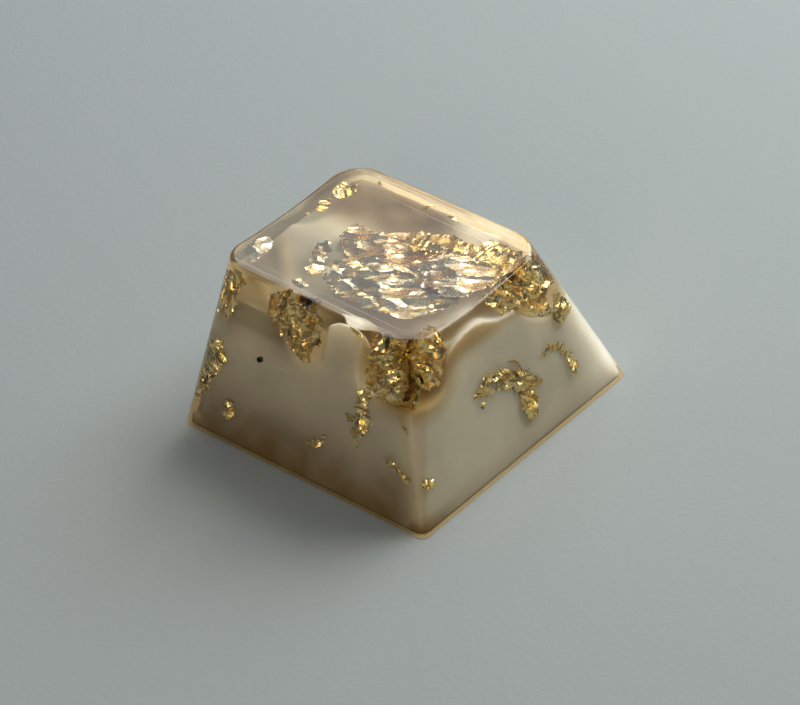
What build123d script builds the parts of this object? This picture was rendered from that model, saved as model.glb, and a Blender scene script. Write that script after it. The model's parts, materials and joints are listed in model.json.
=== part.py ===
"""Artisan keycap, one unit wide, cast in clear and white resin round crumpled gold leaf.

Millimetres. The origin is the middle of the base, +X is the keycap's right, +Y its back
(away from the typist) and +Z up. The cap stands on its rim, and the hollow underneath holds
the stem post with its cross socket.
"""
from build123d import *
from math import cos, hypot, pi, sin
from typing import NamedTuple
import os

# Outer form
base_width = 18.2
side_lean = 3.2
front_lean = 2.8
back_lean = 1.0
front_height = 10.0
back_height = 10.3
base_corner = 0.5
top_corner = 2.1
dish_sag = 0.4
rim_round = 0.25

# Hollow and stem
rim_wall = 1.1
ceiling_wall = 0.95
ceiling_height = 4.8
hollow_corner = 1.0
stem_diameter = 5.5
stem_recess = 0.6
stem_root = 0.25
socket_length = 4.1
socket_wide_arm = 1.3
socket_narrow_arm = 1.1
socket_depth = 3.8

# Clear resin over the white resin
skin = 0.35
cover = 0.07
crest_drop = 2.3
swell = 0.45
swell_length = 6.2
swell_crest = 2.0
swell_fade = 0.3
swell_tilt = 0.4
swell_sections = 5
swell_points = 9

# Gold leaf
leaf_grid = 1.0
leaf_thickness = 0.05
leaf_pleat = 0.55
flat_lift = 0.14
loose_lift = 0.25
skin_depth = 0.2

# Hills of white resin at the left and front sides
side_hill_radius = 2.4
side_hill_out = 0.9
side_hill_front = 1.9
side_hill_drop = 2.5
front_hill_radius = 3.5
front_hill_left = 1.2
front_hill_out = 0.7
front_hill_drop = 4.8

# Pockets of clear resin in the white
corner_pocket_radius = 3.4
corner_pocket_out = 1.1
corner_pocket_inset = 0.1
corner_pocket_depth = 3.7
corner_pocket_round = 1.2
right_pocket_radius = 3.8
right_pocket_inset = 0.2
right_pocket_drop = 0.3
window_pocket_radius = 3.9
window_pocket_out = 1.5
window_pocket_front = 0.3
window_pocket_length = 2.7
window_pocket_round = 1.2
recess_radius = 3.4
recess_out = 2.2
recess_front = 1.4
recess_back = 0.9
recess_round = 1.0
back_pocket_radius = 2.2
back_pocket_out = 0.3
back_pocket_drop = 0.6
back_pocket_start = 0.2
back_pocket_inset = 0.3
back_pocket_round = 0.9
strip_lower_radius = 1.2
strip_upper_radius = 2.0
strip_foot = 0.8

# Pinholes in the left side, one through the skin and one in it
pinhole_diameter = 0.32
pinhole_depth = 0.6
pinhole_inset = 4.5
pinhole_drop = 4.75
bubble_diameter = 0.2
bubble_depth = 0.2
bubble_inset = 6.2
bubble_drop = 4.95

half_base = base_width / 2
half_top = half_base - side_lean
top_width = 2 * half_top
top_front = half_base - front_lean
top_back = half_base - back_lean
top_height = (front_height + back_height) / 2
form_height = max(front_height, back_height) + 2 * dish_sag
top_slope = (back_height - front_height) / (top_back + top_front)

os.makedirs("parts", exist_ok=True)


def width_at(z):
    """Width of the outer form at height z."""
    return base_width + (top_width - base_width) * z / top_height


def front_at(z):
    """Place of the front side at height z."""
    return -half_base + (half_base - top_front) * z / front_height


def back_at(z):
    """Place of the back side at height z."""
    return half_base - (half_base - top_back) * z / back_height


def corner_at(z):
    """Radius of the upright corners at height z."""
    return base_corner + (top_corner - base_corner) * z / top_height


def form(inset, low, high):
    """The tapering block between two heights, drawn in from the outer sides by an inset."""
    with BuildPart() as block:
        for z in (low, high):
            across = width_at(z) - 2 * inset
            deep = back_at(z) - front_at(z) - 2 * inset
            with BuildSketch(Plane.XY.offset(z)):
                with Locations((0, (front_at(z) + back_at(z)) / 2)):
                    RectangleRounded(across, deep, max(corner_at(z) - inset, base_corner / 2))
        loft(ruled=True)
    return block.part


def dish(sink):
    """The long cylinder that hollows the top from side to side, lowered by a sink."""
    radius = (half_top**2 + dish_sag**2) / (2 * dish_sag)
    middle = Vector(0, (top_back - top_front) / 2, top_height)
    along = Vector(0, 1, top_slope).normalized()
    upward = Vector(0, -top_slope, 1).normalized()
    axis_point = middle + upward * (radius - dish_sag - sink)
    with BuildPart() as tool:
        with BuildSketch(Plane(origin=axis_point, x_dir=(1, 0, 0), z_dir=along)):
            Circle(radius)
        extrude(amount=base_width, both=True)
    return tool.part


def hollow():
    """The space under the cap, open below."""
    levels = ((0, rim_wall), (ceiling_height, ceiling_wall))
    with BuildPart() as space:
        for z, wall in levels:
            across = width_at(z) - 2 * wall
            deep = back_at(z) - front_at(z) - 2 * wall
            with BuildSketch(Plane.XY.offset(z)):
                with Locations((0, (front_at(z) + back_at(z)) / 2)):
                    RectangleRounded(across, deep, hollow_corner)
        loft(ruled=True)
    return space.part


def swell_height(x, y):
    """Height of the white resin's rolling surface."""
    fade = 1 - swell_fade * (1 - cos(pi * (y - swell_crest) / half_base))
    ripple = fade * cos(2 * pi * x / swell_length)
    tilt = swell_tilt * sin(2 * pi * y / half_base)
    return top_height - crest_drop + swell * (ripple + tilt)


class Side(NamedTuple):
    """One side of the cap: a plane on its upper edge, and where its corners run."""

    plane: Plane
    left_upper: float
    left_lower: float
    right_upper: float
    right_lower: float
    length: float

    def point(self, side, inset, edge, offset):
        """Across and up of a place given from a corner or the middle, and from an edge."""
        down = offset
        if edge == "lower":
            down = self.length - offset
        if edge == "middle":
            down = self.length / 2 - offset
        part = down / self.length
        left = self.left_upper + (self.left_lower - self.left_upper) * part
        right = self.right_upper + (self.right_lower - self.right_upper) * part
        if side == "left":
            return left + inset, -down
        if side == "right":
            return right - inset, -down
        return (left + right) / 2 + inset, -down

    def spot(self, side, inset, edge, offset, depth):
        """The plane of a leaf at a depth under that place."""
        across, up = self.point(side, inset, edge, offset)
        origin = self.plane.from_local_coords((across, up, -depth))
        return Plane(origin=origin, x_dir=self.plane.x_dir, z_dir=self.plane.z_dir)


left_face = Side(
    Plane(origin=(-half_top, 0, top_height), x_dir=(0, -1, 0), z_dir=(-top_height, 0, side_lean)),
    -back_at(top_height),
    -half_base,
    -front_at(top_height),
    half_base,
    hypot(top_height, side_lean),
)
front_face = Side(
    Plane(origin=(0, -top_front, front_height), x_dir=(1, 0, 0), z_dir=(0, -front_height, front_lean)),
    -width_at(front_height) / 2,
    -half_base,
    width_at(front_height) / 2,
    half_base,
    hypot(front_height, front_lean),
)
top_face = Side(
    Plane(origin=(0, top_back, back_height - dish_sag / 2), x_dir=(1, 0, 0), z_dir=(0, -top_slope, 1)),
    -half_top,
    -half_top,
    half_top,
    half_top,
    top_back + top_front,
)


def pleats(plane, turn, reach, lift):
    """A strip of pleated foil about a plane, its folds turned by an angle."""
    along = plane.x_dir.rotate(Axis((0, 0, 0), plane.z_dir), turn)
    count = int(reach / leaf_pleat) + 2
    ridge = []
    for i in range(-count, count + 1):
        place = leaf_pleat * (i + 0.3 * sin(2.3 * i))
        height = lift / 2 * (-1) ** i * (0.65 + 0.35 * sin(1.7 * i))
        ridge.append((place, height))
    upper = [(x, y + leaf_thickness / 2) for x, y in ridge]
    lower = [(x, y - leaf_thickness / 2) for x, y in reversed(ridge)]
    across = plane.z_dir.cross(along)
    with BuildPart() as strip:
        with BuildSketch(Plane(origin=plane.origin, x_dir=across, z_dir=along)):
            with BuildLine():
                Polyline(*upper, *lower, close=True)
            make_face()
        extrude(amount=reach, both=True)
    return strip.part


def leaf(name, face, place, depth, lift, turn, outline):
    """A crumpled leaf, its place and outline in steps of the grid, trimmed where the cast cap ends."""
    side, inset, edge, offset = place
    plane = face.spot(side, inset * leaf_grid, edge, offset * leaf_grid, depth * leaf_grid)
    points = [(x * leaf_grid, y * leaf_grid) for x, y in outline]
    reach = max(hypot(x, y) for x, y in points) + leaf_pleat
    with BuildPart() as scrap:
        with BuildSketch(plane):
            with BuildLine():
                Polyline(*points, close=True)
            make_face()
        extrude(amount=2 * lift + leaf_thickness, both=True)
        add(pleats(plane, turn, reach, lift), mode=Mode.INTERSECT)
        add(core, mode=Mode.INTERSECT)
    scrap.part.label = name
    return scrap.part


# The whole cap before it is divided between the resins
with BuildPart() as cap:
    add(form(0, 0, form_height))
    add(dish(0), mode=Mode.SUBTRACT)
    fillet(cap.faces().sort_by(Axis.Z)[-1].edges(), rim_round)

# The room that leaf may fill, just under the polished surface
with BuildPart() as inner:
    add(form(cover, cover, form_height))
    add(dish(cover), mode=Mode.SUBTRACT)
core = inner.part


def bar(start, end, radius, rounding):
    """A round bar between two points, its ends rounded off."""
    axis = end - start
    with BuildPart() as rod:
        with BuildSketch(Plane(origin=start, z_dir=axis)):
            Circle(radius)
        extrude(amount=axis.length)
        fillet(rod.edges().filter_by(GeomType.CIRCLE), rounding)
    return rod.part


def ball(centre, radius):
    """A ball about a point."""
    with BuildPart() as round_form:
        with Locations(centre):
            Sphere(radius)
    return round_form.part


def corner_strip():
    """The tapering rod of clear resin up the back left corner."""
    lower = Vector(-half_base, half_base, 0)
    upper = Vector(-half_top, top_back, back_height)
    run = (upper - lower) / back_height
    foot = lower + run * strip_foot
    head = lower + run * form_height
    with BuildPart() as rod:
        with BuildSketch(Plane(origin=foot, z_dir=run)):
            Circle(strip_lower_radius)
        with BuildSketch(Plane(origin=head, z_dir=run)):
            Circle(strip_upper_radius)
        loft()
    return rod.part


corner_x = -half_top - corner_pocket_out
corner_y = -top_front + corner_pocket_inset
window_x = -half_top - window_pocket_out
recess_x = -half_top - recess_out
back_y = top_back + back_pocket_out
back_z = back_height - back_pocket_drop
pockets = [
    bar(
        Vector(corner_x, corner_y, front_height - corner_pocket_depth),
        Vector(corner_x, corner_y, form_height),
        corner_pocket_radius,
        corner_pocket_round,
    ),
    ball(
        (half_top - right_pocket_inset, -top_front, front_height - right_pocket_drop),
        right_pocket_radius,
    ),
    bar(
        Vector(window_x, -window_pocket_front, top_height),
        Vector(window_x, window_pocket_length - window_pocket_front, top_height),
        window_pocket_radius,
        window_pocket_round,
    ),
    bar(
        Vector(recess_x, recess_front, top_height),
        Vector(recess_x, top_back - recess_back, top_height),
        recess_radius,
        recess_round,
    ),
    bar(
        Vector(back_pocket_start, back_y, back_z),
        Vector(half_top - back_pocket_inset, back_y, back_z),
        back_pocket_radius,
        back_pocket_round,
    ),
    corner_strip(),
]

# The white resin's bulk: inside the skin, under a rolling surface, less the pockets
with BuildPart() as bulk:
    for i in range(swell_sections):
        y = base_width * (i / (swell_sections - 1) - 0.5)
        crests = []
        for j in range(swell_points):
            x = base_width * (j / (swell_points - 1) - 0.5)
            crests.append((x, swell_height(x, y)))
        with BuildSketch(Plane(origin=(0, y, 0), x_dir=(1, 0, 0), z_dir=(0, -1, 0))):
            with BuildLine():
                Spline(*crests)
                Polyline(crests[-1], (half_base, 0), (-half_base, 0), crests[0])
            make_face()
    loft()
    with Locations((-half_top - side_hill_out, -side_hill_front, top_height - side_hill_drop)):
        Sphere(side_hill_radius)
    with Locations((-front_hill_left, -top_front - front_hill_out, front_height - front_hill_drop)):
        Sphere(front_hill_radius)
    add(form(skin, 0, form_height), mode=Mode.INTERSECT)
    add(dish(skin), mode=Mode.SUBTRACT)
    for pocket in pockets:
        add(pocket, mode=Mode.SUBTRACT)

# The leaves: name, side of the cap, place on it, depth, crumple, turn of the pleats and outline
leaves = [
    leaf(
        "gold_leaf_top_left",
        top_face,
        ("left", 2.2, "upper", 1.1),
        depth=0.45,
        lift=loose_lift,
        turn=35,
        outline=[
            (-0.5, 0.6), (0.3, 0.8), (1.0, 0.8), (1.6, 0.5), (1.3, -0.1), (0.6, -0.6), (-0.5, -0.9),
            (-1.5, -0.6), (-0.9, 0),
        ],
    ),
    leaf(
        "gold_leaf_top_left_edge",
        top_face,
        ("left", 1.2, "upper", 5.3),
        depth=0.4,
        lift=flat_lift,
        turn=80,
        outline=[
            (-0.1, 0.7), (0.4, 0.5), (0.5, -0.2), (0.1, -0.7), (-0.4, -0.5), (-0.5, 0.1),
        ],
    ),
    leaf(
        "gold_leaf_top_grey",
        top_face,
        ("middle", -2.1, "upper", 4.2),
        depth=1.1,
        lift=loose_lift,
        turn=50,
        outline=[
            (-0.3, 0.2), (0.6, 0.9), (1.4, 1.1), (1.3, 0.4), (0.5, -0.4), (-0.6, -1.0),
            (-1.5, -1.1), (-1.3, -0.3),
        ],
    ),
    leaf(
        "gold_leaf_top_rose",
        top_face,
        ("middle", 0.8, "upper", 6.9),
        depth=1.3,
        lift=loose_lift,
        turn=105,
        outline=[
            (-0.9, 3.0), (0.1, 3.3), (1.2, 3.5), (1.3, 2.7), (1.4, 0.9), (1.7, 0), (1.3, -1.5),
            (0.8, -2.8), (-0.3, -3.5), (-1.2, -3.1), (-1.1, -1.6), (-1.3, -0.2), (-1.5, 1.9),
        ],
    ),
    leaf(
        "gold_leaf_top_middle",
        top_face,
        ("middle", -2.2, "upper", 8.6),
        depth=0.9,
        lift=loose_lift,
        turn=75,
        outline=[
            (-1.2, 3.0), (-0.1, 3.7), (0.8, 3.4), (1.7, 2.8), (2.3, 1.6), (2.2, 0.2), (2.0, -1.3),
            (2.3, -3.0), (1.2, -4.3), (-0.2, -4.2), (-1.3, -3.3), (-1.9, -2.0), (-1.8, 0.4),
        ],
    ),
    leaf(
        "gold_leaf_top_back",
        top_face,
        ("right", 3.0, "upper", 9.0),
        depth=0.85,
        lift=loose_lift,
        turn=60,
        outline=[
            (-0.7, 2.0), (0.3, 1.6), (1.3, 0.1), (0.9, -1.0), (0.7, -2.0), (-0.2, -1.5),
            (-0.5, -0.5), (-1.3, 0.9),
        ],
    ),
    leaf(
        "gold_leaf_top_right",
        top_face,
        ("middle", 1.3, "lower", 2.4),
        depth=0.5,
        lift=loose_lift,
        turn=125,
        outline=[
            (-0.9, 2.0), (0.6, 1.9), (1.5, 0.8), (1.8, -1.4), (0.7, -1.8), (-0.6, -1.9),
            (-1.5, -1.2), (-2.2, -0.4), (-1.9, 0.9),
        ],
    ),
    leaf(
        "gold_leaf_right_corner",
        top_face,
        ("right", 2.5, "lower", 2.1),
        depth=1.2,
        lift=loose_lift,
        turn=40,
        outline=[
            (-0.7, 1.6), (0.6, 1.4), (1.8, 1.4), (2.0, 0.7), (1.9, -1.5), (0.8, -1.6), (-1.8, -1.5),
            (-2.0, -0.7), (-1.4, 0.3),
        ],
    ),
    leaf(
        "gold_leaf_back_corner",
        top_face,
        ("right", 1.9, "upper", 1.0),
        depth=1.2,
        lift=flat_lift,
        turn=20,
        outline=[
            (-0.9, 0.1), (-0.3, 0.6), (0.6, 0.7), (0.6, 0), (0.9, -0.5), (0, -0.6), (-0.8, -0.5),
        ],
    ),
    leaf(
        "gold_leaf_back_edge",
        top_face,
        ("middle", 1.9, "upper", 0.7),
        depth=1.6,
        lift=flat_lift,
        turn=10,
        outline=[
            (-1.4, 0.3), (-0.3, 0.2), (1.0, 0.4), (1.2, -0.1), (0.3, -0.5), (-0.6, -0.2),
        ],
    ),
    leaf(
        "gold_leaf_right_rim",
        top_face,
        ("right", 0.7, "upper", 6.4),
        depth=0.5,
        lift=flat_lift,
        turn=70,
        outline=[
            (-0.4, 0.3), (0.1, 0.2), (0.5, -0.2), (-0.1, -0.3), (-0.5, -0.3),
        ],
    ),
    leaf(
        "gold_leaf_right_sliver",
        top_face,
        ("right", 0.8, "upper", 8.3),
        depth=0.5,
        lift=flat_lift,
        turn=65,
        outline=[
            (0, 0.8), (0.2, 0.3), (0.15, -0.3), (0, -0.8), (-0.2, -0.1),
        ],
    ),
    leaf(
        "gold_leaf_front_crumple",
        front_face,
        ("right", 3.9, "upper", 2.5),
        depth=0.45,
        lift=loose_lift,
        turn=25,
        outline=[
            (-2.5, 1.8), (-1.5, 1.9), (-0.1, 2.0), (1.2, 1.9), (2.0, 1.5), (2.4, -0.2), (2.4, -1.4),
            (2.5, -2.1), (0.9, -1.2), (-0.7, -0.2), (-1.9, 0.6),
        ],
    ),
    leaf(
        "gold_leaf_bright_facet",
        front_face,
        ("right", 1.0, "upper", 1.8),
        depth=0.8,
        lift=flat_lift,
        turn=80,
        outline=[
            (-0.3, 1.2), (0.2, 0.6), (0.5, -0.2), (0.6, -0.8), (-0.2, -1.2), (-0.6, -0.6),
            (-0.6, 0.3),
        ],
    ),
    leaf(
        "gold_leaf_right_edge",
        front_face,
        ("right", 1.4, "upper", 4.0),
        depth=skin_depth,
        lift=flat_lift,
        turn=65,
        outline=[
            (-0.4, 1.0), (0.4, 1.1), (0.8, 0.2), (0.8, -0.4), (0.2, -0.7), (-0.3, -1.1),
            (-0.8, -0.4),
        ],
    ),
    leaf(
        "gold_leaf_front_small",
        front_face,
        ("middle", -1.7, "upper", 5.3),
        depth=skin_depth,
        lift=flat_lift,
        turn=30,
        outline=[
            (-0.6, 0.5), (0, 0.8), (0.5, 0.3), (1.0, -0.5), (0.5, -0.8), (0.1, -0.4), (-0.4, -0.3),
            (-1.0, 0),
        ],
    ),
    leaf(
        "gold_leaf_front_large",
        front_face,
        ("middle", 0.8, "lower", 3.7),
        depth=skin_depth,
        lift=flat_lift,
        turn=95,
        outline=[
            (0.6, 2.2), (0.8, 1.5), (0.9, 0.8), (1.4, 0.4), (1.3, -0.4), (1.6, -0.9), (0.9, -2.0),
            (0.2, -2.2), (-0.1, -1.4), (-0.2, -0.4), (-0.6, 0.3), (-1.0, 0.5), (-1.6, 1.7),
            (-1.1, 2.2), (-0.1, 2.1),
        ],
    ),
    leaf(
        "gold_leaf_front_arch",
        front_face,
        ("right", 3.7, "lower", 3.4),
        depth=skin_depth,
        lift=flat_lift,
        turn=130,
        outline=[
            (-1.2, 1.4), (-0.5, 1.5), (0.6, 1.2), (1.1, 0.3), (1.5, -0.6), (1.3, -1.2), (0.8, -1.5),
            (0.6, -1.0), (0.5, -0.2), (0.1, 0.6), (-0.6, 1.0), (-1.2, 0.8), (-1.5, 1.1),
        ],
    ),
    leaf(
        "gold_leaf_front_corner",
        front_face,
        ("left", 2.2, "upper", 1.8),
        depth=0.85,
        lift=loose_lift,
        turn=110,
        outline=[
            (-1.0, 1.7), (0.5, 1.8), (1.5, 1.3), (1.3, 0.5), (1.2, -0.7), (0.9, -1.7), (-0.1, -1.5),
            (-1.0, -1.1), (-1.1, 0.4),
        ],
    ),
    leaf(
        "gold_leaf_side_corner",
        left_face,
        ("right", 2.2, "upper", 2.4),
        depth=0.5,
        lift=loose_lift,
        turn=60,
        outline=[
            (-1.4, 2.0), (0, 2.2), (1.4, 2.2), (1.8, 1.3), (1.7, -0.3), (1.5, -1.1), (0.5, -1.6),
            (-0.6, -1.8), (-1.1, -1.3), (-1.4, -0.7), (-1.3, 0.1), (-1.2, 1.2),
        ],
    ),
    leaf(
        "gold_leaf_side_tail",
        left_face,
        ("right", 4.2, "upper", 5.4),
        depth=skin_depth,
        lift=flat_lift,
        turn=80,
        outline=[
            (-0.4, 1.4), (0, 1.8), (0.6, 1.1), (0.9, 0.2), (0.8, -0.6), (0.4, -1.3), (0, -1.8),
            (-0.5, -1.5), (-0.9, -1.1), (-0.4, -0.4),
        ],
    ),
    leaf(
        "gold_leaf_side_window",
        left_face,
        ("middle", -1.4, "upper", 2.1),
        depth=0.5,
        lift=loose_lift,
        turn=95,
        outline=[
            (-2.1, 1.5), (-1.0, 1.7), (0.4, 1.7), (2.0, 1.5), (2.1, 0.7), (2.0, -0.3), (1.6, -0.9),
            (1.6, -1.6), (1.0, -1.7), (0.1, -1.5), (-0.7, -1.0), (-1.3, -0.6), (-1.9, 0.4),
        ],
    ),
    leaf(
        "gold_leaf_side_upper",
        left_face,
        ("left", 1.4, "upper", 1.8),
        depth=0.6,
        lift=loose_lift,
        turn=70,
        outline=[
            (-0.6, 1.3), (0.3, 1.5), (1.0, 1.4), (0.9, 1.0), (0.4, 0.8), (0.1, 0.2), (-0.1, -0.7),
            (-0.3, -1.5), (-1.0, -1.6), (-0.9, -0.5),
        ],
    ),
    leaf(
        "gold_leaf_side_lower",
        left_face,
        ("left", 0.9, "lower", 3.7),
        depth=skin_depth,
        lift=flat_lift,
        turn=75,
        outline=[
            (-0.3, 2.3), (0.6, 2.4), (0.8, 1.4), (0.7, 0.2), (0.2, -0.7), (0, -1.7), (-0.6, -2.4),
            (-0.7, -1.1), (-0.5, 1.3),
        ],
    ),
    leaf(
        "gold_leaf_side_low",
        left_face,
        ("left", 3.0, "lower", 2.0),
        depth=skin_depth,
        lift=flat_lift,
        turn=40,
        outline=[
            (-0.3, 0.4), (0.1, 0.7), (0.5, 0.5), (0.4, -0.1), (-0.1, -0.7), (-0.5, -0.4),
        ],
    ),
    leaf(
        "gold_leaf_side_small",
        left_face,
        ("middle", 0.7, "lower", 2.8),
        depth=skin_depth,
        lift=flat_lift,
        turn=15,
        outline=[
            (-0.9, -0.2), (-0.4, -0.3), (0.4, 0.2), (0.8, 0.7), (0.9, 0.4), (0.4, -0.4),
            (-0.3, -0.7),
        ],
    ),
    leaf(
        "gold_leaf_side_speck",
        left_face,
        ("right", 0.9, "upper", 4.9),
        depth=skin_depth,
        lift=flat_lift,
        turn=45,
        outline=[
            (-0.3, 0.1), (-0.1, 0.2), (0.3, 0), (0.1, -0.2),
        ],
    ),
    leaf(
        "gold_leaf_side_thread",
        left_face,
        ("right", 1.5, "lower", 3.2),
        depth=skin_depth,
        lift=flat_lift,
        turn=10,
        outline=[
            (-1.1, 0.3), (-0.8, 0.6), (-0.5, 0.3), (0.1, 0.2), (0.9, -0.1), (0.8, -0.5),
            (0.4, -0.6), (0, -0.2), (-0.6, 0), (-1.0, 0.1),
        ],
    ),
    leaf(
        "gold_leaf_front_thread",
        front_face,
        ("left", 0.8, "lower", 2.6),
        depth=skin_depth,
        lift=flat_lift,
        turn=10,
        outline=[
            (-0.1, 0.3), (0.4, 0.3), (0.5, -0.1), (0.1, -0.3), (-0.5, 0),
        ],
    ),
    leaf(
        "gold_leaf_side_rim",
        left_face,
        ("right", 3.9, "upper", 0.6),
        depth=skin_depth,
        lift=flat_lift,
        turn=0,
        outline=[
            (-0.5, 0.1), (0, 0.2), (0.5, 0.2), (0.3, -0.2), (-0.2, -0.2),
        ],
    ),
]

pinhole = left_face.spot("left", pinhole_inset, "upper", pinhole_drop, 0)
bubble = left_face.spot("left", bubble_inset, "upper", bubble_drop, 0)

# White resin: the bulk over the hollow, with the stem post
with BuildPart() as white_resin_body:
    add(bulk.part)
    add(hollow(), mode=Mode.SUBTRACT)
    with BuildSketch(Plane.XY.offset(stem_recess)):
        Circle(stem_diameter / 2)
    extrude(amount=ceiling_height + stem_root - stem_recess)
    with BuildSketch(Plane.XY.offset(stem_recess)):
        Rectangle(socket_length, socket_wide_arm)
        Rectangle(socket_narrow_arm, socket_length)
    extrude(amount=socket_depth, mode=Mode.SUBTRACT)
    with Locations(pinhole):
        Hole(pinhole_diameter / 2, pinhole_depth)
    add(leaves, mode=Mode.SUBTRACT)

# Clear resin: all the rest of the cast cap
with BuildPart() as clear_resin:
    add(cap.part)
    with Locations(pinhole):
        Hole(pinhole_diameter / 2, pinhole_depth)
    with Locations(bubble):
        Hole(bubble_diameter / 2, bubble_depth)
    add(leaves, mode=Mode.SUBTRACT)
    add(hollow(), mode=Mode.SUBTRACT)
    add(bulk.part, mode=Mode.SUBTRACT)

white_resin_body.part.label = "white_resin_body"
clear_resin.part.label = "clear_resin"
export_step(white_resin_body.part, "parts/white_resin_body.step")
export_step(clear_resin.part, "parts/clear_resin.step")
for scrap in leaves:
    export_step(scrap, f"parts/{scrap.label}.step")
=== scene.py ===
"""Looks of the artisan keycap: white and clear resin round crumpled gold leaf.

Metres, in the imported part's frame: the base stands on Z = 0 and +Y is the keycap's back.
"""
import json
import random
from math import cos, radians, sin

import bpy
from bpy.props import FloatProperty, FloatVectorProperty, IntProperty, PointerProperty
from mathutils import Matrix, Quaternion, Vector

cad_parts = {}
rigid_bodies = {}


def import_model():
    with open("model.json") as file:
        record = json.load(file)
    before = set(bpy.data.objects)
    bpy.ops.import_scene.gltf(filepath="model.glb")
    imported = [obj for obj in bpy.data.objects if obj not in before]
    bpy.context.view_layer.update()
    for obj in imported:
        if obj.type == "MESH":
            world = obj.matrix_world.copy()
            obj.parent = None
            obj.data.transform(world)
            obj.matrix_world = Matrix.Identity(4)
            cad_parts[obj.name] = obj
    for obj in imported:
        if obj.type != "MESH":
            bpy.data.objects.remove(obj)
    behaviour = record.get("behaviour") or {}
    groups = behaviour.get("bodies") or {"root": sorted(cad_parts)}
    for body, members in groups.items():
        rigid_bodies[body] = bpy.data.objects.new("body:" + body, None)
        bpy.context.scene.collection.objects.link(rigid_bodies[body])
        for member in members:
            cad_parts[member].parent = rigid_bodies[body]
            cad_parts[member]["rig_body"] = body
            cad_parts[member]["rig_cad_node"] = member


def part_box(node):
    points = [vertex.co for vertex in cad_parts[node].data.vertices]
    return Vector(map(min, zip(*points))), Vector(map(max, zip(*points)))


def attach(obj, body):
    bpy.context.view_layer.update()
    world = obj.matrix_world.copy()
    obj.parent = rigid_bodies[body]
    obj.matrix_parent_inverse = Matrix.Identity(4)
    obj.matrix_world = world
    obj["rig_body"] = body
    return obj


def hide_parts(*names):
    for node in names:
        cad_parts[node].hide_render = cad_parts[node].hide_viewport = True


bl_info = {
    "name": "Artisan Keycap Looks",
    "version": (1, 0, 0),
    "blender": (4, 5, 0),
    "location": "View3D > Sidebar > Keycap",
    "description": "Models and shades the resins and the gold leaf of a cast keycap",
    "category": "Object",
}

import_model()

WHITE_NODE = "white_resin_body"
CLEAR_NODE = "clear_resin"
LEAF_PREFIX = "gold_leaf_"
CLEAR_LOW, CLEAR_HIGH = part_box(CLEAR_NODE)
HALF_BASE = (CLEAR_HIGH.x - CLEAR_LOW.x) / 2

# Core of the clear casting, whose walls end inside the white casting
CORE_WALL = 0.0008
CORE_TOP = 0.0050
CORE_CORNER = 0.0011
# What counts as touching, points that are one, and facets round a small hole
TOUCH = 0.00001
MERGE = 0.000001
HOLE_STEPS = 24
# Edges sharper than these are rounded at the rim, and stay crisp elsewhere
RIM_ANGLE = radians(30)
CRISP_ANGLE = radians(35)
# White is smoothed over a height, and between its crisp foot and there as far in as the reach
POURED_ABOVE = 0.0054
POURED_FOOT = 0.0006
POURED_REACH = 0.0005
CROWN_ABOVE = 0.0068

# Tints of the white casting. A fade reads x, y, z, slant (x less a share of y) or level (how flat
# the face lies), and grows from its start to where it is full, between a least and a most.
SLANT_SHARE = 0.95
# Painted light: the white's right end turns near white, as if lit through from the right side
PAINTED_LIT_END = ((("x", 0.0045, 0.0086),), 1.0, (0.94, 0.92, 0.86))
# Painted shade: the white darkens towards the floor, all round the foot
FOOT_SHADE = ((("z", 0.0016, 0.0),), 0.35, (0.3, 0.24, 0.15))
# Painted amber shade low on the shaded left side and at its front corner, in patches
AMBER_SHADE_FOOT = (("z", 0.0054, 0.0003), ("y", -0.0088, -0.0066, 0.15, 1.0))
AMBER_SHADE_CORNER = (("y", -0.0066, -0.0082), ("z", 0.0014, 0.0))
AMBER_SHADE_LEFT = ("x", -0.0045, -0.0085)
# Painted shade: the white's deep wall high on the left, dark where it lies in shadow behind the clear
RECESS_SHADE = (
    (
        ("slant", -0.0078, -0.0092),
        ("z", 0.0054, 0.0070),
        ("y", 0.0084, 0.0070),
        ("level", 0.3, 0.8, 0.5, 0.92),
    ),
    1.0,
    (0.16, 0.14, 0.085),
)
# Painted amber shade high on the white's front, on steep faces that fall back under the front pockets of
# leaf
FRONT_STEP_SHADE = (
    (("y", -0.0046, -0.0056), ("z", 0.0070, 0.0078), ("level", 0.8, 0.45)),
    0.85,
    (0.4, 0.29, 0.1),
)
# Painted sheen and light on the white's flat crown: bluish grey for the sky's reflection at the back, near
# white at the front to lift the shade under the top leaf
CROWN_SHEEN = (("z", 0.0070, 0.0075), ("slant", -0.0082, -0.0074), ("level", 0.6, 0.9))
CROWN_SHEEN_BACK = ("y", -0.0020, 0.0020)
CROWN_SHEEN_TONES = ((0.93, 0.94, 0.92), (0.54, 0.6, 0.63))
CROWN_SHEEN_STRENGTH = 0.85
# Painted shade in a valley of the white's top, right of the middle
VALLEY_SHADE = (
    (("x", 0.0014, 0.0040), ("y", -0.0012, 0.0014), ("z", 0.0060, 0.0072)),
    0.85,
    (0.27, 0.2, 0.11),
)
# Golden light round the pockets of leaf: middle and reach, and where it starts and is full
POCKETS = (((-0.0058, -0.0062, 0.0088), 0.0034), ((0.0056, -0.0062, 0.0094), 0.0036))
POCKET_START, POCKET_FULL = 1.2, 0.7
POCKET_STRENGTH = 0.9
POCKET_TONE = (0.33, 0.24, 0.07)
# Painted shade in and round the pinhole: where it starts and is full, in widths of the hole
HOLE_SHADE = (0.025, 0.017, 0.01)
HOLE_SHADE_START, HOLE_SHADE_FULL = 0.6, 0.45
# Share of its tone that milk keeps in its darker clouds, and gold in the painted shade of its folds
CLOUD_SHADE = 0.86
FOLD_SHADE = 0.1

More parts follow.
